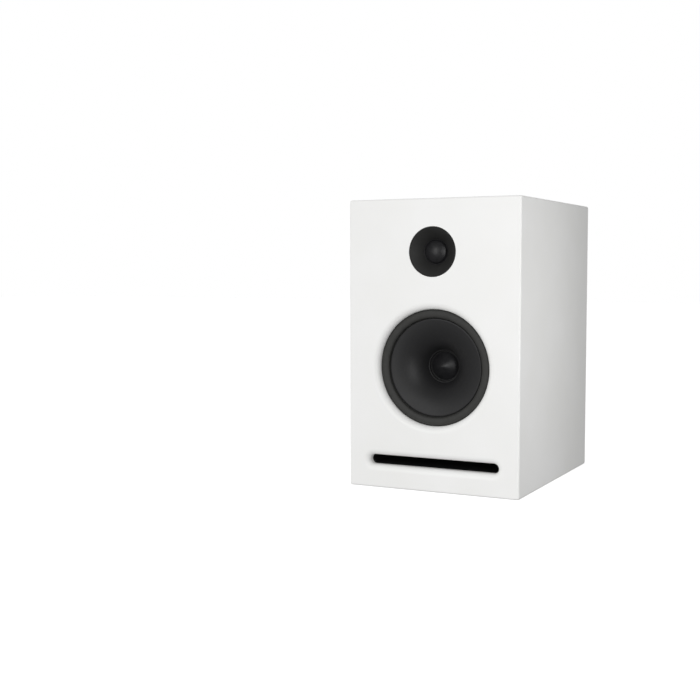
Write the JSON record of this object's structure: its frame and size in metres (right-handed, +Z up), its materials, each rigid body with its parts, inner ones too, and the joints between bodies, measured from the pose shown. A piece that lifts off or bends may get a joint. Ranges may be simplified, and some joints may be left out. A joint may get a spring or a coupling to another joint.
{
  "type": "bookshelf speaker",
  "caption": "White box loudspeaker with a round cone driver, a domed high-frequency driver above it, a rounded slot port below, and a recessed terminal cup behind.",
  "frame": {"origin": "middle of the underside of the cabinet, on the surface it stands on", "axes": "+Z up, front face towards -Y, +X to the listener's right when facing the front"},
  "size_m": [0.178, 0.228, 0.285],
  "materials": {
    "white_lacquer": "satin sprayed lacquer over MDF",
    "raw_mdf": "raw MDF",
    "black_moulding": "moulded ABS, fine texture",
    "waveguide_moulding": "moulded ABS, satin",
    "nbr_rubber": "moulded nitrile rubber",
    "seal_foam": "closed-cell foam tape",
    "cone_polypropylene": "satin moulded polypropylene",
    "cap_polypropylene": "glossy moulded polypropylene",
    "dome_fabric": "doped silk",
    "spider_cloth": "resin-treated cotton",
    "lining_foam": "open-cell polyurethane foam",
    "basket_paint": "black powder coat on die-cast alloy",
    "zinc_steel": "zinc-plated low-carbon steel",
    "ferrite": "sintered ferrite",
    "former_aluminium": "rolled foil",
    "coil_copper": "enamelled copper wire",
    "black_screw": "black oxide steel",
    "plated_brass": "gold-plated brass",
    "tinned_brass": "tinned brass",
    "red_cap": "moulded polycarbonate",
    "black_cap": "moulded polycarbonate",
    "board_laminate": "glass-epoxy laminate with solder mask",
    "nylon": "moulded nylon",
    "capacitor_film": "wrapped polyester film",
    "resistor_cement": "cement-filled ceramic",
    "terminal_fibre": "phenolic paper",
    "wire_pvc": "PVC insulation",
    "tinsel": "braided copper tinsel"
  },
  "bodies": {
    "cabinet": {"front_baffle": "white_lacquer", "top_panel": "white_lacquer", "bottom_panel": "white_lacquer", "left_side": "white_lacquer", "right_side": "white_lacquer", "rear_panel": "white_lacquer", "rear_battens": "raw_mdf", "rear_panel_gasket": "seal_foam", "rear_panel_screws": "black_screw", "side_linings": "lining_foam", "lining_top": "lining_foam", "port_duct_upper": "black_moulding", "port_duct_lower": "black_moulding", "woofer_gasket": "seal_foam", "woofer_basket": "basket_paint", "woofer_surround": "nbr_rubber", "woofer_spider": "spider_cloth", "woofer_top_plate": "zinc_steel", "woofer_magnet": "ferrite", "woofer_yoke": "zinc_steel", "woofer_screws": "black_screw", "woofer_terminals": "terminal_fibre", "woofer_tinsel_leads": "tinsel", "tweeter_waveguide": "waveguide_moulding", "tweeter_gasket": "seal_foam", "tweeter_surround": "dome_fabric", "tweeter_mount_ring": "black_moulding", "tweeter_top_plate": "zinc_steel", "tweeter_magnet": "ferrite", "tweeter_yoke": "zinc_steel", "tweeter_screws": "black_screw", "tweeter_terminals": "terminal_fibre", "terminal_cup": "black_moulding", "terminal_cup_gasket": "seal_foam", "terminal_cup_screws": "black_screw", "post_collars": "black_moulding", "post_studs": "plated_brass", "post_nuts": "plated_brass", "post_solder_tabs": "tinned_brass", "crossover_board": "board_laminate", "board_standoffs": "nylon", "board_screws": "zinc_steel", "woofer_capacitor": "capacitor_film", "tweeter_capacitor": "capacitor_film", "woofer_inductor": "coil_copper", "tweeter_inductor": "coil_copper", "tweeter_resistor": "resistor_cement", "input_leads": "wire_pvc", "woofer_leads": "wire_pvc", "tweeter_leads": "wire_pvc"},
    "woofer_cone_assembly": {"woofer_cone": "cone_polypropylene", "woofer_dust_cap": "cap_polypropylene", "woofer_former": "former_aluminium", "woofer_voice_coil": "coil_copper"},
    "tweeter_dome_assembly": {"tweeter_dome": "dome_fabric", "tweeter_voice_coil": "coil_copper"},
    "red_clamp": {"post_washer_red": "plated_brass"},
    "red_cap": {"post_cap_red": "red_cap"},
    "black_clamp": {"post_washer_black": "plated_brass"},
    "black_cap": {"post_cap_black": "black_cap"}
  },
  "joints": [
    {"name": "woofer_travel", "type": "slide", "parent": "cabinet", "child": "woofer_cone_assembly", "axis": [0, -1, 0], "range_m": [-0.004, 0.004], "stiffness_N_per_m": 900, "deforming": ["woofer_surround", "woofer_spider", "woofer_tinsel_leads"]},
    {"name": "tweeter_travel", "type": "slide", "parent": "cabinet", "child": "tweeter_dome_assembly", "axis": [0, -1, 0], "range_m": [-0.0003, 0.0003], "stiffness_N_per_m": 1500, "deforming": ["tweeter_surround"]},
    {"name": "red_clamp_travel", "type": "slide", "parent": "cabinet", "child": "red_clamp", "axis": [0, 1, 0], "range_m": [0, 0.004]},
    {"name": "red_cap_turn", "type": "hinge", "parent": "red_clamp", "child": "red_cap", "pos_m": [0.0095, 0.1, 0.075], "axis": [0, 1, 0], "range_deg": [0, 1445]},
    {"name": "black_clamp_travel", "type": "slide", "parent": "cabinet", "child": "black_clamp", "axis": [0, 1, 0], "range_m": [0, 0.004]},
    {"name": "black_cap_turn", "type": "hinge", "parent": "black_clamp", "child": "black_cap", "pos_m": [-0.0095, 0.1, 0.075], "axis": [0, 1, 0], "range_deg": [0, 1445]}
  ],
  "couplings": [
    {"joint": "red_cap_turn", "follows": "red_clamp_travel", "rad_per_m": 6283.2},
    {"joint": "black_cap_turn", "follows": "black_clamp_travel", "rad_per_m": 6283.2}
  ]
}
